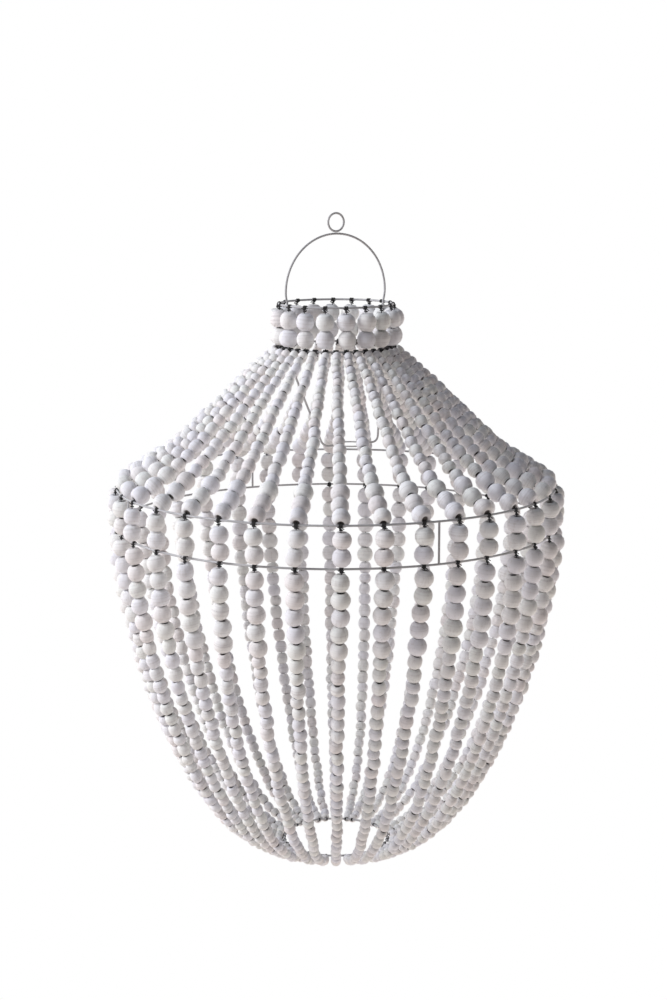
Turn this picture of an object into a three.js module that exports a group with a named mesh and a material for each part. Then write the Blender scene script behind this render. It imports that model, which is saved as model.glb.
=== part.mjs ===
// Beaded chandelier: strings of round beads tied to a welded wire frame, hung from a small loop.
// Millimetres, +Z up. The origin is the top of the hanging loop's eye, where a hook bears.
// X runs across the bail. An azimuth is counted from the front (-Y) towards +X.
import * as THREE from 'three';

// Stock
const wire = 3; // round steel wire of the whole frame
const thread = 1.2; // thread that carries the beads
const clearance = 0.3; // left between pieces that are welded, tied or seated together

// Frame
const loopBore = 22; // eye of the hanging loop
const bailRise = 97; // from the collar's upper ring to the top of the bail
const collarRadius = 80; // both rings of the collar, to the middle of the wire
const bodyRadius = 311; // both rings of the band, the widest part
const footRadius = 76; // ring that closes the bowl below
const shoulderDrop = 195; // from the collar's lower ring to the band's upper ring
const bowlDrop = 474.5; // from the band's lower ring to the foot ring

// Beads
const strings = 36; // strings round the body; every second one starts at the collar's upper ring
const largeBead = 25; // width of the beads of the band and of the rows next to it
const largeLength = 23.5; // their length along the thread
const beadGap = 1.5; // side gap where the strings crowd together on the small rings
const tie = 3.5; // bare thread from the middle of a ring's wire to the next bead
const longTie = 5.5; // the same under the band's upper ring
const collarTie = 7; // the same under the collar's upper ring
const threadEnd = 2.5; // thread past the last ring, cut off above its knot
const collarRows = 2; // rows of large beads on the collar
const shoulderRows = 3; // above the band
const bandRows = 2; // in the band
const bowlRows = 5; // below the band

// Lamp cradle
const cradleDrop = 140.5; // from the collar's lower ring down to the flat part of the cradle
const cradleLean = 24; // the cradle hangs this far off the middle, along the bail
const armReach = 45; // from the middle of the cradle to the bend of each arm
const armBend = 8; // length of straight wire that each side of a bend takes up
const armHead = 12; // upright stretch of each arm below the collar's lower ring
const holderBore = 40.5; // bore of the flat ring that takes a lampholder
const holderRim = 3.5; // width of that ring's flat rim
const holderPlate = 1.6; // its thickness

// Facets
const stringSides = 5;
const wireSides = 5;
const loopSteps = 16;
const bailSteps = 28;
const bailBends = 12; // points that carry the bail's arch, less one
const armSteps = 12;
const holderSteps = 24;
const upperSteps = 2; // stretches of the run of small beads on the sloping shoulder
const bowlSteps = 6; // stretches of the run of small beads in the bowl
const bowlPoints = 14; // points that carry the bowl's curve

// Shapes
const neckShare = 0.42; // width of the face where two beads touch, of their width
const fillShare = 0.94; // mean width of a run of small beads, of their full width
const sagPlaceShare = 0.68; // where the sloping run hangs lowest under its chord, of its length
const sagShare = 0.04; // how low it hangs there, of its length
const bowlFullness = 1.5; // exponent of the bowl's outline: higher is fuller
const strutShare = -0.5; // place of the struts beside every ninth string, of the gap between strings

// Derived sizes
const wireRadius = wire / 2;
const threadRadius = thread / 2;
const lap = wire + clearance; // from middle to middle of two wires that lie side by side
const hang = wireRadius + clearance + threadRadius; // from the wire's middle to a thread's on it
const pitch = (2 * Math.PI) / strings;
const collarBead = 2 * (pitch * collarRadius - beadGap);
const collarSmallBead = pitch * collarRadius - beadGap;
const footBead = pitch * footRadius - beadGap;
const shoulderSmallBead = (collarSmallBead + largeBead) / 2;
const bowlSmallBead = (footBead + largeBead) / 2;
const collarDepth = collarTie + collarRows * collarBead + tie;
const bandDepth = longTie + bandRows * largeLength + tie;

// Heights of the wire middles, down from the hook's bearing point
const loopMiddle = -loopBore / 2;
const bailTop = -loopBore - lap - wireRadius;
const collarTop = bailTop - bailRise;
const collarLow = collarTop - collarDepth;
const shoulder = collarLow - shoulderDrop;
const waist = shoulder - bandDepth;
const foot = waist - bowlDrop;
const cradle = collarLow - cradleDrop;

const paint = new THREE.MeshStandardMaterial({ color: 0xa9a9ac, roughness: 0.45, metalness: 0.2 });
const wood = new THREE.MeshStandardMaterial({ color: 0xe9e7ea, roughness: 0.85, metalness: 0 });

const chandelier = new THREE.Group();

function addPiece(name, geometry, material) {
  const piece = new THREE.Mesh(geometry, material);
  piece.name = name;
  chandelier.add(piece);
  return piece;
}

// Wire pieces

function addRing(name, radius, height, steps) {
  const ring = addPiece(name, new THREE.TorusGeometry(radius, wireRadius, wireSides, steps), paint);
  ring.position.z = height;
  return ring;
}

function addWire(name, route, steps) {
  const corners = [];
  for (let i = 0; i < wireSides; i++) {
    const turn = (2 * Math.PI * i) / wireSides;
    corners.push(new THREE.Vector2(wireRadius * Math.cos(turn), wireRadius * Math.sin(turn)));
  }
  const section = new THREE.Shape(corners);
  return addPiece(name, new THREE.ExtrudeGeometry(section, { steps, extrudePath: route }), paint);
}

// A place at an azimuth, a distance from the chandelier's axis and a height
function around(azimuth, radius, height) {
  return new THREE.Vector3(radius * Math.sin(azimuth), -radius * Math.cos(azimuth), height);
}

// The hanging loop is a closed ring, upright, welded on top of the bail, in the bail's own plane.
const loop = addRing('hanging_loop', loopBore / 2 + wireRadius, loopMiddle, loopSteps);
loop.rotation.x = Math.PI / 2;

// The bail is one arched wire. Its legs run down inside both rings of the collar.
function bailRoute() {
  const leg = collarRadius - lap;
  const legFoot = collarLow - wireRadius;
  const legPoints = [
    new THREE.Vector3(-leg, 0, legFoot),
    new THREE.Vector3(-leg, 0, (legFoot + collarTop) / 2),
    new THREE.Vector3(-leg, 0, collarTop + lap),
  ];
  const route = [...legPoints];
  for (let i = 0; i <= bailBends; i++) {
    const turn = (Math.PI * i) / bailBends;
    const height = bailTop - collarRadius + collarRadius * Math.sin(turn);
    route.push(new THREE.Vector3(-collarRadius * Math.cos(turn), 0, height));
  }
  for (const point of legPoints.reverse()) {
    route.push(new THREE.Vector3(-point.x, 0, point.z));
  }
  return new THREE.CatmullRomCurve3(route, false, 'centripetal');
}
addWire('bail', bailRoute(), bailSteps);

addRing('collar_upper_ring', collarRadius, collarTop, strings);
addRing('collar_lower_ring', collarRadius, collarLow, strings);
addRing('shoulder_ring', bodyRadius, shoulder, strings);
addRing('waist_ring', bodyRadius, waist, strings);
addRing('foot_ring', footRadius, foot, strings);

// Four upright struts hold the band's two rings apart, each between two strings.
const strutLength = bandDepth - 2 * lap + wire;
['front', 'right', 'rear', 'left'].forEach((side, i) => {
  const strut = new THREE.CylinderGeometry(wireRadius, wireRadius, strutLength, wireSides);
  const piece = addPiece(`band_strut_${side}`, strut, paint);
  const azimuth = (Math.PI / 2) * i + strutShare * pitch;
  piece.rotation.x = Math.PI / 2;
  piece.position.copy(around(azimuth, bodyRadius, (shoulder + waist) / 2));
});

// A wire's route along straight runs, with a rounded bend at each inner corner
function bentRoute(corners, bend) {
  const route = new THREE.CurvePath();
  let from = corners[0];
  for (let i = 1; i < corners.length - 1; i++) {
    const corner = corners[i];
    const before = corner.clone().add(corners[i - 1].clone().sub(corner).setLength(bend));
    const after = corner.clone().add(corners[i + 1].clone().sub(corner).setLength(bend));
    route.add(new THREE.LineCurve3(from, before));
    route.add(new THREE.QuadraticBezierCurve3(before, corner, after));
    from = after;
  }
  route.add(new THREE.LineCurve3(from, corners.at(-1)));
  return route;
}

// Two arms go on from the ends of the bail's legs, bend inward and carry the flat lampholder ring.
const holderRadius = holderBore / 2;
const holderEdge = holderRadius + holderRim;
['right', 'left'].forEach((side, i) => {
  const azimuth = Math.PI * (i + 0.5);
  const lean = new THREE.Vector3(cradleLean, 0, 0);
  const head = around(azimuth, collarRadius - lap, collarLow - wireRadius - clearance);
  const knee = around(azimuth, collarRadius - lap, collarLow - armHead);
  const bend = around(azimuth, armReach, cradle).add(lean);
  const end = around(azimuth, holderEdge + clearance, cradle).add(lean);
  addWire(`cradle_arm_${side}`, bentRoute([head, knee, bend, end], armBend), armSteps);
});

const rim = [
  new THREE.Vector2(holderRadius, -holderPlate / 2),
  new THREE.Vector2(holderEdge, -holderPlate / 2),
  new THREE.Vector2(holderEdge, holderPlate / 2),
  new THREE.Vector2(holderRadius, holderPlate / 2),
];
rim.push(rim[0]);
const holder = addPiece('lampholder_ring', new THREE.LatheGeometry(rim, holderSteps), paint);
holder.rotation.x = Math.PI / 2;
holder.position.set(cradleLean, 0, cradle);

// Bead strings. A string is drawn in a plane of its own, x outward and y up, from its upper end
// down: a list of stations, each with its place, its direction and its radius.

// Where a string passes outside a ring's wire, leaning outward by the tilt
function crossing(ringRadius, height, tilt) {
  const out = new THREE.Vector2(Math.cos(tilt), Math.sin(tilt));
  const along = new THREE.Vector2(out.y, -out.x);
  return { at: new THREE.Vector2(ringRadius, height).addScaledVector(out, hang), along };
}

function onward(place, length) {
  return { at: place.at.clone().addScaledVector(place.along, length), along: place.along };
}

function bare(place) {
  return { ...place, radius: threadRadius };
}

function onRun(run, length, radius) {
  const share = length / run.getLength();
  return { at: run.getPointAt(share), along: run.getTangentAt(share), radius };
}

// A row of touching beads: two cones each, with the flat between neighbours
function addBeads(stations, run, from, count, length, width, opens, closes) {
  for (let i = 0; i <= count; i++) {
    const atThread = (i === 0 && opens) || (i === count && closes);
    const face = atThread ? threadRadius : (neckShare * width) / 2;
    stations.push(onRun(run, from + i * length, face));
    if (i < count) {
      stations.push(onRun(run, from + (i + 0.5) * length, width / 2));
    }
  }
}

// A run of small beads as one stem that follows their mean width
function addStem(stations, run, from, to, firstSize, lastSize, steps) {
  const start = from + firstSize / 2;
  const end = to - lastSize / 2;
  for (let i = 0; i <= steps; i++) {
    const size = firstSize + ((lastSize - firstSize) * i) / steps;
    stations.push(onRun(run, start + ((end - start) * i) / steps, (fillShare * size) / 2));
  }
}

function stringStations(startsAtTop) {
  const slope = Math.atan2(bodyRadius - collarRadius, shoulderDrop);
  const atTop = crossing(collarRadius, collarTop, 0);
  const atCollar = crossing(collarRadius, collarLow, slope / 2);
  const atShoulder = crossing(bodyRadius, shoulder, slope / 2);
  const atWaist = crossing(bodyRadius, waist, 0);
  const atFoot = crossing(footRadius, foot, -Math.PI / 2);
  const stations = [];

  if (startsAtTop) {
    stations.push(bare(onward(atTop, -threadEnd)));
    const column = new THREE.LineCurve(onward(atTop, collarTie).at, onward(atCollar, -tie).at);
    addBeads(stations, column, 0, collarRows, column.getLength() / collarRows, collarBead, true, true);
  } else {
    stations.push(bare(onward(atCollar, -threadEnd)));
  }
  stations.push(bare(atCollar));

  const slopeStart = onward(atCollar, tie);
  const slopeEnd = onward(atShoulder, -tie);
  const chord = slopeEnd.at.clone().sub(slopeStart.at);
  const sag = slopeStart.at.clone().addScaledVector(chord, sagPlaceShare);
  sag.addScaledVector(new THREE.Vector2(chord.y, -chord.x), sagShare);
  const slopeRun = new THREE.SplineCurve([slopeStart.at, sag, slopeEnd.at]);
  const stemEnd = slopeRun.getLength() - shoulderRows * largeLength;
  stations.push(onRun(slopeRun, 0, threadRadius));
  addStem(stations, slopeRun, 0, stemEnd, collarSmallBead, shoulderSmallBead, upperSteps);
  addBeads(stations, slopeRun, stemEnd, shoulderRows, largeLength, largeBead, false, true);
  stations.push(bare(atShoulder));

  const bandStart = new THREE.Vector2(atWaist.at.x, shoulder - longTie);
  const band = new THREE.LineCurve(bandStart, onward(atWaist, -tie).at);
  addBeads(stations, band, 0, bandRows, band.getLength() / bandRows, largeBead, true, true);

  const bowlStart = onward(atWaist, tie).at;
  const bowlEnd = onward(atFoot, -tie).at;
  const bowlOutline = [];
  for (let i = 0; i <= bowlPoints; i++) {
    const turn = (Math.PI / 2) * (i / bowlPoints);
    const drop = Math.sin(turn) ** (2 / bowlFullness);
    bowlOutline.push(
      new THREE.Vector2(
        bowlEnd.x + (bowlStart.x - bowlEnd.x) * Math.cos(turn),
        bowlStart.y + (bowlEnd.y - bowlStart.y) * drop,
      ),
    );
  }
  const bowl = new THREE.SplineCurve(bowlOutline);
  const bowlStem = bowlRows * largeLength;
  addBeads(stations, bowl, 0, bowlRows, largeLength, largeBead, true, false);
  addStem(stations, bowl, bowlStem, bowl.getLength(), bowlSmallBead, footBead, bowlSteps);
  stations.push(onRun(bowl, bowl.getLength(), threadRadius));
  stations.push(bare(onward(atFoot, threadEnd)));
  return stations;
}

function stringGeometry(stations) {
  const places = [];
  const faces = [];
  for (const { at, along, radius } of stations) {
    for (let i = 0; i < stringSides; i++) {
      const turn = (2 * Math.PI * i) / stringSides;
      const outward = radius * Math.cos(turn);
      places.push(at.x - outward * along.y, radius * Math.sin(turn), at.y + outward * along.x);
    }
  }
  const last = (stations.length - 1) * stringSides;
  for (let row = 0; row < last; row += stringSides) {
    for (let i = 0; i < stringSides; i++) {
      const here = row + i;
      const next = row + ((i + 1) % stringSides);
      faces.push(here, here + stringSides, next);
      faces.push(next, here + stringSides, next + stringSides);
    }
  }
  for (let i = 1; i < stringSides - 1; i++) {
    faces.push(0, i, i + 1);
    faces.push(last, last + i + 1, last + i);
  }
  const geometry = new THREE.BufferGeometry();
  geometry.setAttribute('position', new THREE.Float32BufferAttribute(places, 3));
  geometry.setIndex(faces);
  return geometry;
}

for (let i = 0; i < strings; i++) {
  const startsAtTop = i % 2 === 0;
  const number = String(i + 1).padStart(2, '0');
  const name = startsAtTop ? `long_bead_string_${number}` : `bead_string_${number}`;
  const piece = addPiece(name, stringGeometry(stringStations(startsAtTop)), wood);
  piece.rotation.z = i * pitch - Math.PI / 2;
}

export default chandelier;
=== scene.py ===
import math
import random

import bpy
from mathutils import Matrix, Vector


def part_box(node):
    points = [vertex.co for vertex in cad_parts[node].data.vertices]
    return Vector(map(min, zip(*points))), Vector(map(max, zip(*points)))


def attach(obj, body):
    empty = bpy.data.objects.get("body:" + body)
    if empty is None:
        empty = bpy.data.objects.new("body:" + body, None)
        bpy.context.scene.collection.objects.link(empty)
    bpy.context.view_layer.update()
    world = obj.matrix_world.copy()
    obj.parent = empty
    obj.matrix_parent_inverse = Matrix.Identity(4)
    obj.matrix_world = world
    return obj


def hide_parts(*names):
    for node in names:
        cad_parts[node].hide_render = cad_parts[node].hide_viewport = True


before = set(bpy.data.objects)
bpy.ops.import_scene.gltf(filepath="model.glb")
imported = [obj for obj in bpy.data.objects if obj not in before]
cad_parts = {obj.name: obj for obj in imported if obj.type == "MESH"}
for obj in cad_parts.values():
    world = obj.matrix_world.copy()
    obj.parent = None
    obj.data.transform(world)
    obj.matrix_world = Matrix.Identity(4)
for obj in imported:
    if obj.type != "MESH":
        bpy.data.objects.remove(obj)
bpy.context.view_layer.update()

body = "root"


# Camera
# It stands in front, 30 degrees round to the left and a little above the top of the hanging loop,
# and looks slightly down on the whole.
def around(azimuth, radius, height):
    """A place at an azimuth, counted from the front towards +X, a distance from the axis and a height"""
    return Vector((radius * math.sin(azimuth), -radius * math.cos(azimuth), height))


camera_azimuth = math.radians(-30)
camera_distance = 2.5954
camera_height = 0.078
camera_tilt = math.radians(10.513)
camera_aside = -0.0035

bpy.context.scene.view_settings.view_transform = "Standard"
camera = bpy.data.objects.new("camera", bpy.data.cameras.new("camera"))
bpy.context.scene.collection.objects.link(camera)
camera.data.lens = 66.54
camera.data.sensor_width = 36
camera.location = around(camera_azimuth, camera_distance, camera_height)
camera.location += camera_aside * Vector((math.cos(camera_azimuth), math.sin(camera_azimuth), 0))
camera.rotation_euler = (math.pi / 2 - camera_tilt, 0, camera_azimuth)
bpy.context.scene.camera = camera


# Studio
# A white room with its bright wall behind the object, soft high on the left and dark high on the
# right, cool from above and warm from below. One wide lamp stands at the upper left, and a pale
# floor that fades out at its edge lies far below.
class Socket:
    """An output of a node. Sums written on it add Math nodes to its tree."""

    def __init__(self, tree, output):
        self.tree, self.output = tree, output

    def __getitem__(self, name):
        return Socket(self.tree, self.output.node.outputs[name])

    def math(self, operation, *values):
        return node(self.tree, "ShaderNodeMath", {"operation": operation}, dict(enumerate(values)))

    def __add__(self, other):
        return self.math("ADD", self, other)

    def __radd__(self, other):
        return self.math("ADD", other, self)

    def __sub__(self, other):
        return self.math("SUBTRACT", self, other)

    def __rsub__(self, other):
        return self.math("SUBTRACT", other, self)

    def __mul__(self, other):
        return self.math("MULTIPLY", self, other)

    def __rmul__(self, other):
        return self.math("MULTIPLY", other, self)

    def between(self, low, high):
        """0 below low, 1 above high, smooth between them"""
        settings = {"interpolation_type": "SMOOTHSTEP"}
        return node(self.tree, "ShaderNodeMapRange", settings, {0: self, 1: low, 2: high})


def node(tree, kind, settings=None, values=None, output=0):
    """Adds a node: its settings first, then the values or links of its inputs."""
    made = tree.nodes.new(kind)
    for name, value in (settings or {}).items():
        setattr(made, name, value)
    for name, value in (values or {}).items():
        if isinstance(value, Socket):
            tree.links.new(value.output, made.inputs[name])
        elif isinstance(value, list):
            for one in value:
                tree.links.new(one.output, made.inputs[name])
        else:
            made.inputs[name].default_value = value
    return Socket(tree, made.outputs[output]) if made.outputs else made


def vectors(tree, operation, *values):
    """A sum of vectors, each a value or a socket"""
    return node(tree, "ShaderNodeVectorMath", {"operation": operation}, dict(enumerate(values)))


def colour_mix(tree, share, under, over):
    """One colour laid over another by a share from 0 to 1"""
    return node(tree, "ShaderNodeMix", {"data_type": "RGBA"}, {0: share, 6: under, 7: over}, 2)


def circle(radius, height, points):
    """Points all the way round the axis"""
    return [around(2 * math.pi * i / points, radius, height) for i in range(points)]


white = (1, 1, 1, 1)
room_front = 0.47
room_back = 1.32
room_left = 1.05
room_dark = 0.98
room_above = 0.12
room_below = 1.6
ceiling_tone = (0.83, 0.86, 1.0, 1)
ground_tone = (1.0, 0.895, 0.835, 1)
wall_turn = math.radians(-36)
bright_turn = math.radians(-80)
dark_turn = math.radians(47)
corner_level = 0.68
corner_rise = 0.73

world = bpy.data.worlds.new("white_room")
bpy.context.scene.world = world
world.use_nodes = True
room = world.node_tree
room.nodes.clear()
path = node(room, "ShaderNodeLightPath")
seen = path["Is Camera Ray"] + path["Is Glossy Ray"] + path["Is Transmission Ray"]
direction = node(room, "ShaderNodeTexCoord")["Generated"]


def facing(turn, level, rise):
    """How closely a look into the room follows a direction, which is turned from the camera's azimuth"""
    return vectors(room, "DOT_PRODUCT", direction, around(camera_azimuth + turn, level, rise))["Value"]


climb = node(room, "ShaderNodeSeparateXYZ", None, {0: direction})["Z"]
daylight = room_front + (room_back - room_front) * facing(wall_turn, -1, 0).between(-0.3, 0.75)
daylight = daylight * (room_below - (room_below - room_above) * climb.between(-0.7, 0.6))
daylight = daylight + room_left * facing(bright_turn, corner_level, corner_rise).between(0.1, 0.95)
daylight = daylight * (1 - room_dark * facing(dark_turn, corner_level, corner_rise).between(0.2, 0.85))
air = colour_mix(room, climb.between(-0.4, 0.5), ground_tone, ceiling_tone)
shown = node(room, "ShaderNodeBackground", None, {"Color": white, "Strength": 1})
lighting = node(room, "ShaderNodeBackground", None, {"Color": air, "Strength": daylight})
both = node(room, "ShaderNodeMixShader", None, {0: seen.between(0, 1), 1: lighting, 2: shown})
node(room, "ShaderNodeOutputWorld", None, {"Surface": both})

lamp_turn = math.radians(-76)
lamp_distance = 3.6
lamp_height = 1.7
lamp_aim = Vector((0, 0, -0.45))

key = bpy.data.objects.new("key_lamp", bpy.data.lights.new("key_lamp", "AREA"))
bpy.context.scene.collection.objects.link(key)
key.data.shape = "DISK"
key.data.size = 1.8
key.data.energy = 106
key.data.color = (0.975, 0.978, 1)
key.location = around(camera_azimuth + lamp_turn, lamp_distance, lamp_height)
key.rotation_euler = (lamp_aim - key.location).to_track_quat("-Z", "Y").to_euler()
key.visible_camera = False

floor_height = -3.4
floor_radius = 4.0
floor_sides = 96
floor_tone = (0.9, 0.9, 0.9, 1)
floor_glow = 1.3
glow_share = 0.6
white_share = 0.8
fade_start = 0.4 * floor_radius

floor_mesh = bpy.data.meshes.new("floor")
floor_mesh.from_pydata(circle(floor_radius, floor_height, floor_sides), [], [range(floor_sides)])
floor = bpy.data.objects.new("floor", floor_mesh)
bpy.context.scene.collection.objects.link(floor)


def finish_of(name):
    """A new material and its node tree"""
    material = bpy.data.materials.new(name)
    material.use_nodes = True
    return material, material.node_tree


floor_paint, ground = finish_of("floor")
ground.nodes.clear()
matt = node(ground, "ShaderNodeBsdfDiffuse", None, {"Color": floor_tone})
glow = node(ground, "ShaderNodeEmission", None, {"Color": ground_tone, "Strength": floor_glow})
matt = node(ground, "ShaderNodeMixShader", None, {0: glow_share, 1: matt, 2: glow})
bright = node(ground, "ShaderNodeEmission", None, {"Color": white, "Strength": 1})
looked_at = node(ground, "ShaderNodeLightPath")["Is Camera Ray"]
surface = node(ground, "ShaderNodeMixShader", None, {0: looked_at * white_share, 1: matt, 2: bright})
flat_place = vectors(ground, "MULTIPLY", node(ground, "ShaderNodeTexCoord")["Object"], (1, 1, 0))
reach = vectors(ground, "LENGTH", flat_place)["Value"]
clear = node(ground, "ShaderNodeBsdfTransparent")
faded = node(ground, "ShaderNodeMixShader", None,
             {0: reach.between(fade_start, floor_radius), 1: surface, 2: clear})
node(ground, "ShaderNodeOutputMaterial", None, {"Surface": faded})
floor_mesh.materials.append(floor_paint)


# Wire and its paint
# The frame is 3 mm round steel wire, bent, welded and then sprayed a pale grey. The paint is
# satin, a little uneven, and thin enough to show darker steel in small rubbed spots.
def noise(tree, place, scale, detail):
    return node(tree, "ShaderNodeTexNoise", None, {"Vector": place, "Scale": scale, "Detail": detail})


def ramp(tree, share, stops):
    """A colour picked by a share from stops, each (place, colour)"""
    picked = node(tree, "ShaderNodeValToRGB", None, {0: share})
    elements = picked.output.node.color_ramp.elements
    for i in range(len(stops) - len(elements)):
        elements.new(i / len(stops))
    for element, (place, colour) in zip(elements, stops):
        element.position, element.color = place, (*colour, 1)
    return picked


def bump(tree, height, strength, distance):
    return node(tree, "ShaderNodeBump", None, {"Strength": strength, "Distance": distance, "Height": height})


def into(tree, links):
    """Links sockets into the named inputs of a material's shader"""
    for name, value in links.items():
        tree.links.new(value.output, tree.nodes["Principled BSDF"].inputs[name])


wire = 0.003
wire_sides = 12
weld_gap = 0.0003
bare_steel = (0.16, 0.15, 0.15, 1)

paint, coat = finish_of("frame_paint")
spot = node(coat, "ShaderNodeTexCoord")["Object"]
cloud = noise(coat, spot, 45, 4)
speck = noise(coat, spot, 420, 3)
shade = ramp(coat, cloud, [(0.3, (0.39, 0.39, 0.40)), (0.7, (0.51, 0.51, 0.52))])
rubbed = (speck * 0.6 + cloud * 0.4).between(0.62, 0.68)
into(coat, {
    "Base Color": colour_mix(coat, rubbed, shade, bare_steel), "Roughness": 0.34 + cloud * 0.2,
    "Metallic": rubbed * 0.6, "Normal": bump(coat, speck, 0.25, 0.0002)})


def tree_of(name, inputs):
    """A geometry tree with named inputs, and the sockets of those inputs"""
    tree = bpy.data.node_groups.new(name, "GeometryNodeTree")
    tree.interface.new_socket("Geometry", in_out="INPUT", socket_type="NodeSocketGeometry")
    for label, kind in inputs.items():
        tree.interface.new_socket(label, in_out="INPUT", socket_type=f"NodeSocket{kind}")
    tree.interface.new_socket("Geometry", in_out="OUTPUT", socket_type="NodeSocketGeometry")
    return tree, node(tree, "NodeGroupInput")


def swept(tree, curve, section):
    """A section drawn along a curve and closed at its ends"""
    return node(tree, "GeometryNodeCurveToMesh", None,
                {"Curve": curve, "Profile Curve": section, "Fill Caps": True})


def end_tree(tree, parts, material):
    """Ends a tree in Realize Instances and Set Material"""
    joined = node(tree, "GeometryNodeJoinGeometry", None, {0: parts})
    real = node(tree, "GeometryNodeRealizeInstances", None, {0: joined})
    smooth = node(tree, "GeometryNodeSetShadeSmooth", None, {0: real})
    finished = node(tree, "GeometryNodeSetMaterial", None, {"Geometry": smooth, "Material": material})
    node(tree, "NodeGroupOutput", None, {0: finished})


def grow(name, tree, seedling, **inputs):
    """What a tree makes of an object, as a plain mesh on an object of its own"""
    bpy.context.scene.collection.objects.link(seedling)
    modifier = seedling.modifiers.new(tree.name, "NODES")
    modifier.node_group = tree
    for item in tree.interface.items_tree:
        if item.in_out == "INPUT" and item.name in inputs:
            modifier[item.identifier] = inputs[item.name]
    depsgraph = bpy.context.evaluated_depsgraph_get()
    grown = seedling.evaluated_get(depsgraph)
    mesh = bpy.data.meshes.new_from_object(grown, preserve_all_data_layers=True, depsgraph=depsgraph)
    mesh.name = name
    bpy.data.objects.remove(seedling)
    piece = bpy.data.objects.new(name, mesh)
    bpy.context.scene.collection.objects.link(piece)
    return piece


def loose_points(name, points, edges, attributes=None):
    """An object of bare points and edges that carries named attributes, for a tree to work on"""
    mesh = bpy.data.meshes.new(name)
    mesh.from_pydata(points, edges, [])
    for attribute, (kind, values) in (attributes or {}).items():
        layer = mesh.attributes.new(attribute, kind, "POINT")
        for slot, value in zip(layer.data, values):
            if kind == "FLOAT_VECTOR":
                slot.vector = value
            else:
                slot.value = value
    return bpy.data.objects.new(name, mesh)


# The wire tree sweeps a round section along a line. Weld lumps aren't drawn: at each weld the two
# wires keep the solids' gap.
wire_tree, wire_in = tree_of("painted_wire", {"Gauge": "Float"})
wire_line = node(wire_tree, "GeometryNodeMeshToCurve", None, {"Mesh": wire_in["Geometry"]})
wire_section = node(wire_tree, "GeometryNodeCurvePrimitiveCircle", None,
                    {"Resolution": wire_sides, "Radius": wire_in["Gauge"] * 0.5})
end_tree(wire_tree, [swept(wire_tree, wire_line, wire_section)], paint)


def wire_piece(node_name, line, closed=False):
    """A painted wire piece from its middle line"""
    edges = [(i, i + 1) for i in range(len(line) - 1)]
    if closed:
        edges.append((len(line) - 1, 0))
    seedling = loose_points(node_name + "_line", line, edges)
    piece = grow(node_name + "_painted", wire_tree, seedling, Gauge=wire)
    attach(piece, body)
    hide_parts(node_name)


# Hanging loop and bail
# A small closed ring welded on top of one arched wire. The arch's legs draw in a little above the
# collar and run down inside both of its rings, to which they are welded.
def ring_size(node_name):
    """The radius and the height of a ring's wire, at its middle"""
    low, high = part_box(node_name)
    return high.x - wire / 2, (low.z + high.z) / 2


loop_radius, loop_height = ring_size("hanging_loop")
loop_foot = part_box("hanging_loop")[0].z
loop_points = 64
loop_line = []
for i in range(loop_points):
    turn = 2 * math.pi * i / loop_points
    loop_line.append(Vector((loop_radius * math.sin(turn), 0, loop_height - loop_radius * math.cos(turn))))
wire_piece("hanging_loop", loop_line, closed=True)

collar_radius, collar_top = ring_size("collar_upper_ring")
_, collar_low = ring_size("collar_lower_ring")
bail_top = loop_foot - weld_gap - wire / 2
arch = collar_radius
leg = collar_radius - wire - weld_gap
leg_foot = collar_low - wire / 2
arch_points = 48
draw_points = 12
arch_middle = bail_top - arch
drawn_in = collar_top - wire * 2

half_bail = []
for i in range(arch_points // 2 + 1):
    turn = math.pi / 2 * (1 - 2 * i / arch_points)
    half_bail.append(Vector((arch * math.cos(turn), 0, arch_middle + arch * math.sin(turn))))
for i in range(1, draw_points + 1):
    share = i / draw_points
    ease = share * share * (3 - 2 * share)
    half_bail.append(Vector((arch + (leg - arch) * ease, 0, arch_middle + (drawn_in - arch_middle) * share)))
half_bail.append(Vector((leg, 0, leg_foot)))
other_half = [Vector((-point.x, 0, point.z)) for point in half_bail]
wire_piece("bail", other_half[::-1] + half_bail[1:])


# Rings
# Five rings carry the strings: two small ones in the collar, two wide ones at the band and a small
# one at the foot. Each is one wire bent round and butt-welded to itself at the back.
ring_points = {
    "collar_upper_ring": 96, "collar_lower_ring": 96, "shoulder_ring": 160, "waist_ring": 160,
    "foot_ring": 96,
}
rings = {}
for name, points in ring_points.items():
    rings[name] = ring_size(name)
    wire_piece(name, circle(*rings[name], points), closed=True)
body_radius, shoulder = rings["shoulder_ring"]
_, waist = rings["waist_ring"]
foot_radius, foot = rings["foot_ring"]


# Band struts
# Four short upright wires, a quarter turn from each other, hold the band's two rings apart. Each is
# cut from the same wire and welded to both rings.
for side in ("front", "right", "rear", "left"):
    low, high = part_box(f"band_strut_{side}")
    middle = (low + high) / 2
    ends = [Vector((middle.x, middle.y, height)) for height in (waist, shoulder)]
    wire_piece(f"band_strut_{side}", ends)


# Lamp cradle
# Two arms go on from the ends of the bail's legs, slant inward, bend level and meet a flat stamped
# ring that takes a lampholder. It hangs a little off the middle, along the bail.
holder_low, holder_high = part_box("lampholder_ring")
holder_middle = (holder_low + holder_high) / 2
holder_edge = (holder_high.x - holder_low.x) / 2
holder_plate = holder_high.z - holder_low.z
holder_rim = 0.0035
holder_round = 0.0003
holder_sides = 64
arm_head = 0.012
arm_bend = 0.010
arm_reach = 0.045
bend_points = 8

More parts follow.
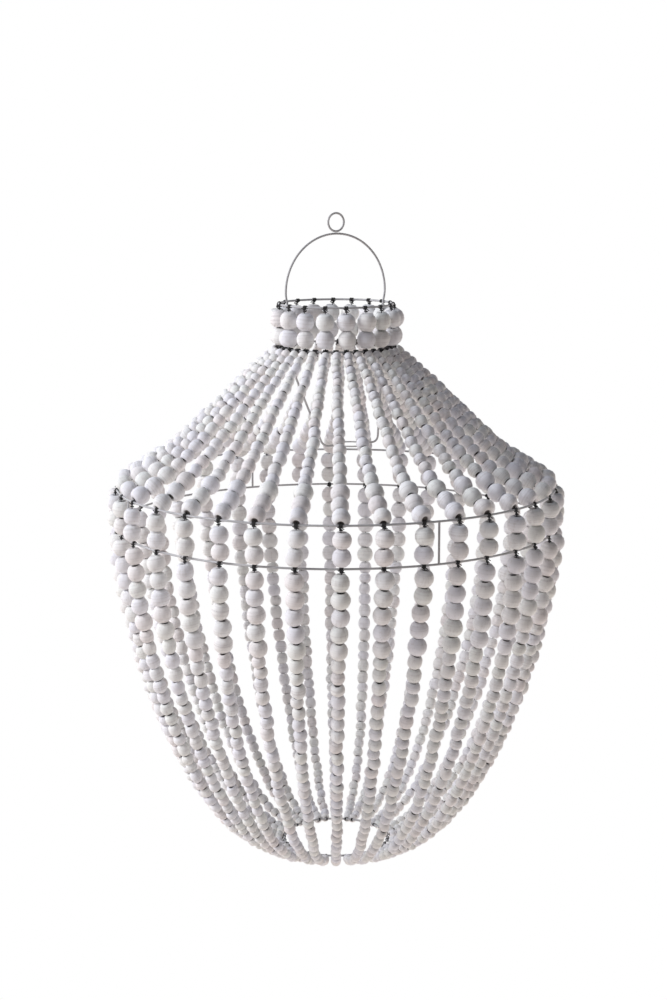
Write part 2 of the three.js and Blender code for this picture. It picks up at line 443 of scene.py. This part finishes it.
for i, side in enumerate(("right", "left")):
    azimuth = math.pi * (i + 0.5)
    off_middle = Vector((holder_middle.x, 0, 0))
    corners = [
        around(azimuth, leg, leg_foot),
        around(azimuth, leg, collar_low - arm_head),
        around(azimuth, arm_reach, holder_middle.z) + off_middle,
        around(azimuth, holder_edge, holder_middle.z) + off_middle,
    ]
    arm_line = [corners[0]]
    for before, corner, after in zip(corners, corners[1:], corners[2:]):
        bend_start = corner + (before - corner).normalized() * arm_bend
        bend_end = corner + (after - corner).normalized() * arm_bend
        for j in range(bend_points + 1):
            share = j / bend_points
            arm_line.append(bend_start.lerp(corner, share).lerp(corner.lerp(bend_end, share), share))
    arm_line.append(corners[-1])
    wire_piece(f"cradle_arm_{side}", arm_line)

# The flat ring's section has its four corners cut, and is spun about the ring's own middle.
section = []
for radial, vertical in ((-1, -1), (1, -1), (1, 1), (-1, 1)):
    corner = Vector((holder_edge - holder_rim / 2 + radial * holder_rim / 2, 0, vertical * holder_plate / 2))
    cuts = [corner - Vector((radial * holder_round, 0, 0)), corner - Vector((0, 0, vertical * holder_round))]
    section += cuts if radial * vertical < 0 else cuts[::-1]
holder_points, holder_faces = [], []
for i in range(holder_sides):
    turn = 2 * math.pi * i / holder_sides
    here, ahead = i * len(section), (i + 1) % holder_sides * len(section)
    for j, point in enumerate(section):
        spun = Vector((point.x * math.cos(turn), point.x * math.sin(turn), point.z))
        holder_points.append(holder_middle + spun)
        along = (j + 1) % len(section)
        holder_faces.append((here + j, ahead + j, ahead + along, here + along))
holder_mesh = bpy.data.meshes.new("lampholder_ring_painted")
holder_mesh.from_pydata(holder_points, [], holder_faces)
holder_mesh.materials.append(paint)
holder = bpy.data.objects.new("lampholder_ring_painted", holder_mesh)
bpy.context.scene.collection.objects.link(holder)
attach(holder, body)
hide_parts("lampholder_ring")


# One bead
# A turned wooden ball, drilled through and faced flat at both ends, then dipped in white wash.
# The wash lies thin on the turning marks and takes a slightly different tone on each bead. The bore
# and the dished end faces are painted near black: bare wood in the bore, and painted shade on the
# dished faces where the beads touch.
bead_sides = 12
bead_bands = 5
bore_share = 0.22
bore_depth = 0.12
barrel = 0.88
large_face = 0.44
small_face = 0.56


def bead_pattern(name, face_share):
    """A bead of unit size along +Z, faced flat where its profile has come in to a share of its width"""
    face_angle = math.acos(face_share)
    profile = [(bore_share / 2, bore_depth - 0.5)]
    for i in range(bead_bands + 1):
        latitude = face_angle * (2 * i / bead_bands - 1)
        profile.append((math.cos(latitude) ** barrel / 2, math.sin(latitude) / math.sin(face_angle) / 2))
    profile.append((bore_share / 2, 0.5 - bore_depth))
    points = []
    for radius, height in profile:
        for i in range(bead_sides):
            turn = 2 * math.pi * i / bead_sides
            points.append(Vector((radius * math.cos(turn), radius * math.sin(turn), height)))
    faces = []
    for row in range(len(profile) - 1):
        for i in range(bead_sides):
            here, beside = row * bead_sides + i, row * bead_sides + (i + 1) % bead_sides
            faces.append((here, beside, beside + bead_sides, here + bead_sides))
    faces.append(range(bead_sides - 1, -1, -1))
    faces.append(range(len(points) - bead_sides, len(points)))
    # The bore's points carry the near-black colour, which fades out over the dished faces as painted shade
    drilled = [not bead_sides <= i < len(points) - bead_sides for i in range(len(points))]
    mesh = bpy.data.meshes.new(name)
    mesh.from_pydata(points, [], faces)
    mesh.attributes.new("turned", "FLOAT_VECTOR", "POINT")
    mesh.attributes.new("drilled", "FLOAT", "POINT")
    for i, point in enumerate(points):
        mesh.attributes["turned"].data[i].vector = point
        mesh.attributes["drilled"].data[i].value = drilled[i]
    pattern = bpy.data.objects.new(name, mesh)
    bpy.context.scene.collection.objects.link(pattern)
    return pattern


large_pattern = bead_pattern("large_bead_pattern", large_face)
small_pattern = bead_pattern("small_bead_pattern", small_face)

lathe_marks_per_metre = 520
wash_tones = [
    (0.00, (0.81, 0.81, 0.85)),
    (0.30, (0.86, 0.86, 0.88)),
    (0.55, (0.85, 0.865, 0.835)),
    (0.80, (0.86, 0.85, 0.84)),
    (0.96, (0.85, 0.815, 0.81)),
    (1.00, (0.80, 0.775, 0.76)),
]
groove_tone = (0.52, 0.505, 0.50, 1)
thin_wash_tone = (0.60, 0.57, 0.55, 1)
pit_tone = (0.45, 0.43, 0.42, 1)
# Near black: bare wood in the bore, and painted shade on the dished faces where beads touch
bare_bore_and_shade_tone = (0.06, 0.05, 0.045, 1)

wash, washed = finish_of("white_wash")


def xyz(tree, *parts):
    return node(tree, "ShaderNodeCombineXYZ", None, dict(enumerate(parts)))


def of_bead(name, output):
    """An attribute that the bead tree stores on each bead"""
    return node(washed, "ShaderNodeAttribute", {"attribute_name": name})[output]


tint = of_bead("tint", "Fac")
own = of_bead("turned", "Vector")
bore_and_contact_shade = of_bead("drilled", "Fac").between(0.1, 0.9)
axial = node(washed, "ShaderNodeSeparateXYZ", None, {0: own})["Z"]
bead_length = node(washed, "ShaderNodeSeparateXYZ", None, {0: of_bead("size", "Vector")})["Z"]
# Each bead reads another part of every pattern, by its tint.
apart = [tint * by for by in (31, 17, 53)]
own_place = vectors(washed, "ADD", own, xyz(washed, *apart))
along_bead = axial * bead_length * lathe_marks_per_metre + apart[2]
lathe_marks = noise(washed, xyz(washed, apart[0], apart[1], along_bead), 1, 2)
streaks = noise(washed, vectors(washed, "MULTIPLY", own_place, (9, 9, 1.6)), 1, 3)
patches = noise(washed, own_place, 2.2, 2)
specks = noise(washed, own_place, 14, 2)
rough_one = node(washed, "ShaderNodeTexWhiteNoise", {"noise_dimensions": "1D"}, {"W": tint * 97})
grooved = lathe_marks.between(0.48, 0.66) * (0.15 + rough_one) * 0.28
thin = ((streaks + lathe_marks * 0.6 + patches * 0.4) * 0.5).between(0.5, 0.66) * 0.4
pitted = specks.between(0.68, 0.74) * 0.4
washed_tone = ramp(washed, tint, wash_tones)
washed_tone = colour_mix(washed, grooved, washed_tone, groove_tone)
washed_tone = colour_mix(washed, thin, washed_tone, thin_wash_tone)
washed_tone = colour_mix(washed, pitted, washed_tone, pit_tone)
# Painted shade: the bore and the dished end faces darken towards the bore, as between touching beads
washed_tone = colour_mix(washed, bore_and_contact_shade * 0.95, washed_tone, bare_bore_and_shade_tone)
relief = lathe_marks * 0.45 + streaks * 0.3 - specks.between(0.66, 0.76) * 0.5
into(washed, {
    "Base Color": washed_tone, "Roughness": 0.62 + patches * 0.25,
    "Normal": bump(washed, relief, 0.6, 0.0008)})
washed.nodes["Principled BSDF"].inputs["Specular IOR Level"].default_value = 0.35


# Thread and knots
# Each string hangs on dark twisted thread. It is wound round every ring that it crosses and hitched
# there, with two cut tails, and a small stop knot holds the first bead of each run.
thread = 0.0013
thread_sides = 5
coil_steps = 8
coils = 4
coil_pitch = 1.05
half_pitch = 0.52
hitch_coils = 2.6
hitch_width = 1.15
hitch_taper = 0.6
hitch_height = 1.2
hitch_tilt = (0.35, 0.3, 0)
hitch_aside = 0.0006
stop_coils = 2
stop_width = 1.9
stop_height = 0.8
# Where the two tails start, bend and end, from the middle of the ring's wire
tail_ways = (
    ((0.001, 0.0022, -0.0018), (0.0035, 0.0032, -0.0022), (0.0045, 0.0036, -0.0008)),
    ((-0.001, 0.0024, -0.0020), (-0.0028, 0.0036, -0.0034), (-0.0042, 0.0030, -0.0042)),
)
# How much wider, deeper and taller a knot is at each ring than at the band
knot_shape = {
    "collar_upper_ring": (1, 1, 1), "collar_lower_ring": (1.3, 1.2, 1.3), "shoulder_ring": (1, 1, 1),
    "waist_ring": (1, 1, 1), "foot_ring": (0.4, 0.9, 0.8),
}

cotton, spun_tree = finish_of("dark_thread")
fibres = noise(spun_tree, node(spun_tree, "ShaderNodeTexCoord")["Object"], 2600, 2)
fibre_tone = ramp(spun_tree, fibres, [(0.3, (0.008, 0.008, 0.009)), (0.75, (0.035, 0.033, 0.034))])
into(spun_tree, {
    "Base Color": fibre_tone, "Roughness": 0.6 + fibres * 0.3,
    "Normal": bump(spun_tree, fibres, 0.6, 0.0002)})


def named(tree, name, kind):
    """An attribute of the points that a tree works on"""
    return node(tree, "GeometryNodeInputNamedAttribute", {"data_type": kind}, {"Name": name})


def pointing(tree, way):
    """The rotation that turns +Z to a direction"""
    return node(tree, "FunctionNodeAlignRotationToVector", {"axis": "Z"}, {"Vector": way})


def set_on(tree, points, chosen, shape, turn, size=(1, 1, 1)):
    """A shape set on each of the chosen points"""
    return node(tree, "GeometryNodeInstanceOnPoints", None, {
        "Points": points, "Selection": chosen, "Instance": shape, "Rotation": turn, "Scale": size})


tie_tree, tie_in = tree_of("thread_and_ties", {"Thread": "Float", "Wire": "Float"})
cord_section = node(tie_tree, "GeometryNodeCurvePrimitiveCircle", None,
                    {"Resolution": thread_sides, "Radius": tie_in["Thread"] * 0.5})


def cord_along(curve):
    return swept(tie_tree, curve, cord_section)


def coil(rotations, start_radius, end_radius, height):
    """A coil of thread about +Z, as a curve"""
    return node(tie_tree, "GeometryNodeCurveSpiral", None, {
        "Resolution": coil_steps, "Rotations": rotations, "Start Radius": start_radius,
        "End Radius": end_radius, "Height": height})


def moved(curve, rotation, place):
    return node(tie_tree, "GeometryNodeTransform", None,
                {"Geometry": curve, "Rotation": rotation, "Translation": place})


run_of_thread = cord_along(node(tie_tree, "GeometryNodeMeshToCurve", None, {"Mesh": tie_in["Geometry"]}))
wound_radius = (tie_in["Wire"] + tie_in["Thread"]) * 0.5
winding = coil(coils, wound_radius, wound_radius, tie_in["Thread"] * (coil_pitch * coils))
winding = moved(winding, (0, math.pi / 2, 0), xyz(tie_tree, tie_in["Thread"] * (-half_pitch * coils)))
hitch_radius = tie_in["Thread"] * hitch_width
hitch = coil(hitch_coils, hitch_radius, hitch_radius * hitch_taper, tie_in["Thread"] * hitch_height)
hitch = moved(hitch, hitch_tilt, xyz(tie_tree, hitch_aside, wound_radius, tie_in["Wire"] * -1.0))
tails = []
for start, middle, end in tail_ways:
    tails.append(cord_along(node(tie_tree, "GeometryNodeCurveQuadraticBezier", None,
                                 {"Resolution": 3, "Start": start, "Middle": middle, "End": end})))
knot = node(tie_tree, "GeometryNodeJoinGeometry", None, {0: [cord_along(winding), cord_along(hitch), *tails]})
upright = pointing(tie_tree, named(tie_tree, "upward", "FLOAT_VECTOR"))
knot_turn = node(tie_tree, "FunctionNodeAlignRotationToVector", {"axis": "Y", "pivot_axis": "Z"},
                 {"Rotation": upright, "Vector": named(tie_tree, "outward", "FLOAT_VECTOR")})
knots = set_on(tie_tree, tie_in["Geometry"], named(tie_tree, "tied", "BOOLEAN"), knot, knot_turn,
               named(tie_tree, "knot_size", "FLOAT_VECTOR"))
stopper = coil(stop_coils, tie_in["Thread"] * stop_width, tie_in["Thread"], tie_in["Thread"] * stop_height)
stoppers = set_on(tie_tree, tie_in["Geometry"], named(tie_tree, "stopped", "BOOLEAN"), cord_along(stopper),
                  upright)
end_tree(tie_tree, [run_of_thread, knots, stoppers], cotton)


# Bead strings
# 36 strings, every second one from the collar's upper ring and the others from its lower ring,
# all down to the foot ring. Small beads start the slope and end the bowl, and 25 mm beads sit on
# the collar, round the band and next to it. Each run of beads fills the gap between two ties.
strings = 36
pitch = 2 * math.pi / strings
collar_bead = 0.0262
large_bead = 0.0252
large_length = 0.0235
smallest_large = 0.022
bead_gap = 0.03
gap_spread = (0.3, 1.7)
squash = 0.18
large_squash = squash / 5
hang = (wire + thread) / 2
# Bare thread between a ring and the next bead
tie = 0.0035
collar_tie = 0.0070
shoulder_tie = 0.0024
band_tie = 0.0055
waist_tie = 0.0045

bead_tree, bead_in = tree_of("threaded_beads", {
    "Large": "Object", "Small": "Object", "Seed": "Int", "Unevenness": "Float", "Tilt": "Float",
    "Drift": "Float"})


def varied(seed, *reach):
    """A random vector for each bead, each part of it up to its reach either way"""
    drawn = node(bead_tree, "FunctionNodeRandomValue", {"data_type": "FLOAT_VECTOR"},
                 {0: (-1, -1, -1), 1: (1, 1, 1), "Seed": seed})
    return vectors(bead_tree, "MULTIPLY", drawn, xyz(bead_tree, *reach))


seed, tilt, drift, unevenness = (bead_in[name] for name in ("Seed", "Tilt", "Drift", "Unevenness"))
wobble = node(bead_tree, "FunctionNodeEulerToRotation", None, {0: varied(seed, tilt, tilt, math.pi)})
threaded_way = pointing(bead_tree, named(bead_tree, "along", "FLOAT_VECTOR"))
bead_turn = node(bead_tree, "FunctionNodeRotateRotation", {"rotation_space": "LOCAL"},
                 {0: threaded_way, 1: wobble})
bead_size = vectors(bead_tree, "ADD", varied(seed + 1, unevenness, unevenness), (1, 1, 1))
bead_size = vectors(bead_tree, "MULTIPLY", bead_size, named(bead_tree, "size", "FLOAT_VECTOR"))
drifted = node(bead_tree, "GeometryNodeSetPosition", None,
               {"Geometry": bead_in["Geometry"], "Offset": varied(seed + 3, drift, drift, drift * 0.25)})
bead_tint = node(bead_tree, "FunctionNodeRandomValue", {"data_type": "FLOAT"}, {"Seed": seed + 2}, 1)
drifted = node(bead_tree, "GeometryNodeStoreNamedAttribute", {"data_type": "FLOAT", "domain": "POINT"},
               {"Geometry": drifted, "Name": "tint", "Value": bead_tint})
big = named(bead_tree, "big", "BOOLEAN")
little = node(bead_tree, "FunctionNodeBooleanMath", {"operation": "NOT"}, {0: big})
placed = []
for chosen, pattern in ((big, bead_in["Large"]), (little, bead_in["Small"])):
    shape = node(bead_tree, "GeometryNodeObjectInfo", None, {"Object": pattern})["Geometry"]
    placed.append(set_on(bead_tree, drifted, chosen, shape, bead_turn, bead_size))
end_tree(bead_tree, placed, wash)


def crossing(radius, height, lean):
    """Where a thread lies on a ring's wire, as (radius, height), when the string leans out by an angle"""
    return Vector((radius + hang * math.cos(lean), height + hang * math.sin(lean)))


slope_lean = math.atan2(body_radius - collar_radius, collar_low - shoulder) / 2
at_top = crossing(collar_radius, collar_top, 0)
at_collar = crossing(collar_radius, collar_low, slope_lean)
at_shoulder = crossing(body_radius, shoulder, slope_lean)
at_waist = crossing(body_radius, waist, 0)
at_foot = crossing(foot_radius, foot, -math.pi / 2)

slope_sag = 0.011
sag_skew = 1.8
bowl_fullness = 1.5
curve_steps = 80
route_step = 0.004


def slope_outline():
    chord = at_shoulder - at_collar
    down = Vector((chord.y, -chord.x)).normalized()
    outline = []
    for i in range(curve_steps + 1):
        share = i / curve_steps
        outline.append(at_collar + chord * share + down * slope_sag * math.sin(math.pi * share ** sag_skew))
    return outline


def bowl_outline():
    outline = []
    for i in range(curve_steps + 1):
        turn = math.pi / 2 * i / curve_steps
        drop = math.sin(turn) ** (2 / bowl_fullness)
        radius = at_foot.x + (at_waist.x - at_foot.x) * math.cos(turn)
        outline.append(Vector((radius, at_waist.y + (at_foot.y - at_waist.y) * drop)))
    return outline


slope_small = 16
slope_first = 0.0130
slope_growth = 0.0064
slope_large = 3
slope_widths = [slope_first + slope_growth * i / (slope_small - 1) for i in range(slope_small)]
bowl_large = 5
bowl_small = 29
bowl_first = 0.0200
bowl_shrinkage = 0.0072
bowl_widths = [bowl_first - bowl_shrinkage * i / (bowl_small - 1) for i in range(bowl_small)]

# Each run: its outline, its beads' widths, and the bare thread at its upper and lower end.
runs = {
    "collar": ([at_top, at_collar], [collar_bead] * 2, collar_tie, tie),
    "slope": (slope_outline(), slope_widths + [large_bead] * slope_large, tie, shoulder_tie),
    "band": ([at_shoulder, at_waist], [large_bead] * 2, band_tie, tie),
    "bowl": (bowl_outline(), [large_bead] * bowl_large + bowl_widths, waist_tie, tie),
}


def lengths_of(widths, room, chance):
    """Large beads keep their length in a run with small ones, and the others share the rest of it"""
    kept = [width == large_bead and min(widths) < large_bead for width in widths]
    uneven = [squash if width < smallest_large else large_squash for width in widths]
    shares = [width * chance.uniform(1 - by, 1 + by) for width, by in zip(widths, uneven)]
    rest = sum(share for share, keeps in zip(shares, kept) if not keeps)
    flatness = (room - large_length * sum(kept)) / rest
    return [large_length if keeps else share * flatness for share, keeps in zip(shares, kept)]


def spaced(points, step):
    """The same line with a point about every step"""
    out = [points[0]]
    for start, end in zip(points, points[1:]):
        parts = max(1, round((end - start).length / step))
        out += [start.lerp(end, (i + 1) / parts) for i in range(parts)]
    return out


def place_on(line, distance):
    """The point at a distance along a line, and the line's direction there"""
    gone = 0
    for start, end in zip(line, line[1:]):
        step = (end - start).length
        if gone + step >= distance:
            return start.lerp(end, (distance - gone) / step), (end - start) / step
        gone += step
    return line[-1].copy(), (line[-1] - line[-2]).normalized()


def hung(outline, azimuth_above, azimuth_below, sway, chance):
    """A run's outline set in space between the azimuths of its two ties, with a slight sway"""
    points = spaced(outline, route_step)
    swing, ripple = sway * chance.uniform(-1, 1), sway * chance.uniform(-0.5, 0.5)
    line = []
    for i, point in enumerate(points):
        share = i / (len(points) - 1)
        azimuth = azimuth_above + (azimuth_below - azimuth_above) * share
        aside = swing * math.sin(math.pi * share) + ripple * math.sin(2 * math.pi * share)
        line.append(around(azimuth + aside / point.x, point.x, point.y))
    return line


# How far each string's ties on the band have slipped round it, in degrees, the front string first
band_slip = [
    0.35, -0.7, -0.4, -1.0, -0.75, -0.9, -0.2, 0.4, 0.9, 0.6, 1.4, 2.2, 2.1, 0.9, 1.5, 1.9, 0.5, 0.3,
    -0.4, 0.5, 1.0, 0.2, -0.6, -0.9, -0.3, 0.4, -0.5, -1.2, 0.5, 1.2, 1.2, 0.6, 0.5, 1.0, 1.0, 0.8,
]
collar_twist = math.radians(3.6)
twist_start = math.radians(10)
up = Vector((0, 0, 1))
tie_slip = math.radians(0.3)
foot_slip = math.radians(1.3)
foot_slip_step = 2.4
string_sway = 0.0024
slack = 0.0030
slack_spread = (-0.2, 1)
loose_fit = {"Unevenness": 0.055, "Tilt": 0.12, "Drift": 0.0012}

for number in range(1, strings + 1):
    long_one = number % 2 == 1
    node_name = f"long_bead_string_{number:02d}" if long_one else f"bead_string_{number:02d}"
    chance = random.Random(number)
    azimuth = (number - 1) * pitch
    names = ["slope", "band", "bowl"]
    crossed_rings = ["collar_lower_ring", "shoulder_ring", "waist_ring", "foot_ring"]
    twist = collar_twist * (math.cos(azimuth + twist_start) - 1)
    slip = math.radians(band_slip[number - 1])
    slips = [twist / 2, slip, slip, foot_slip * math.sin(foot_slip_step * number)]
    if long_one:
        names.insert(0, "collar")
        crossed_rings.insert(0, "collar_upper_ring")
        slips.insert(0, twist)
    azimuths = [azimuth + each + chance.uniform(-tie_slip, tie_slip) for each in slips]
    centres, sizes, ways = [], [], []
    thread_line, stops, stop_ways = [], [], []
    for name, above, below in zip(names, azimuths, azimuths[1:]):
        outline, widths, bare_above, bare_below = runs[name]
        if name in ("band", "bowl"):
            bare_above += slack * chance.uniform(*slack_spread)
        line = hung(outline, above, below, string_sway if name in ("slope", "bowl") else 0, chance)
        thread_line += line if not thread_line else line[1:]
        length = sum((end - start).length for start, end in zip(line, line[1:]))
        place = bare_above
        stop, stop_way = place_on(line, bare_above - thread)
        stops.append(stop)
        stop_ways.append(-stop_way)
        for width, bead_length in zip(widths, lengths_of(widths, length - bare_above - bare_below, chance)):
            centre, way = place_on(line, place + bead_length / 2)
            centres.append(centre)
            sizes.append((width, width, bead_length * (1 - bead_gap * chance.uniform(*gap_spread))))
            ways.append(-way)
            place += bead_length

    places = loose_points(node_name + "_places", centres, [], {
        "size": ("FLOAT_VECTOR", sizes), "along": ("FLOAT_VECTOR", ways),
        "big": ("BOOLEAN", [size[0] > smallest_large for size in sizes])})
    beads = grow(node_name + "_beads", bead_tree, places, Large=large_pattern, Small=small_pattern,
                 Seed=10 * number, **loose_fit)
    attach(beads, body)
    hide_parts(node_name)

    ties = [around(angle, *rings[ring]) for ring, angle in zip(crossed_rings, azimuths)]
    edges = [(i, i + 1) for i in range(len(thread_line) - 1)]
    points = thread_line + ties + stops
    before, between, beyond = len(thread_line), len(ties), len(stops)
    knot_sizes = [(1, 1, 1)] * before + [knot_shape[ring] for ring in crossed_rings] + [(1, 1, 1)] * beyond
    line = loose_points(node_name + "_line", points, edges, {
        "tied": ("BOOLEAN", [False] * before + [True] * between + [False] * beyond),
        "stopped": ("BOOLEAN", [False] * (before + between) + [True] * beyond),
        "knot_size": ("FLOAT_VECTOR", knot_sizes),
        "upward": ("FLOAT_VECTOR", [up] * (before + between) + stop_ways),
        "outward": ("FLOAT_VECTOR", [Vector((point.x, point.y, 0)).normalized() for point in points])})
    threads = grow(node_name + "_thread", tie_tree, line, Thread=thread, Wire=wire)
    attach(threads, body)
    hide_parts(node_name)

bpy.data.objects.remove(large_pattern)
bpy.data.objects.remove(small_pattern)
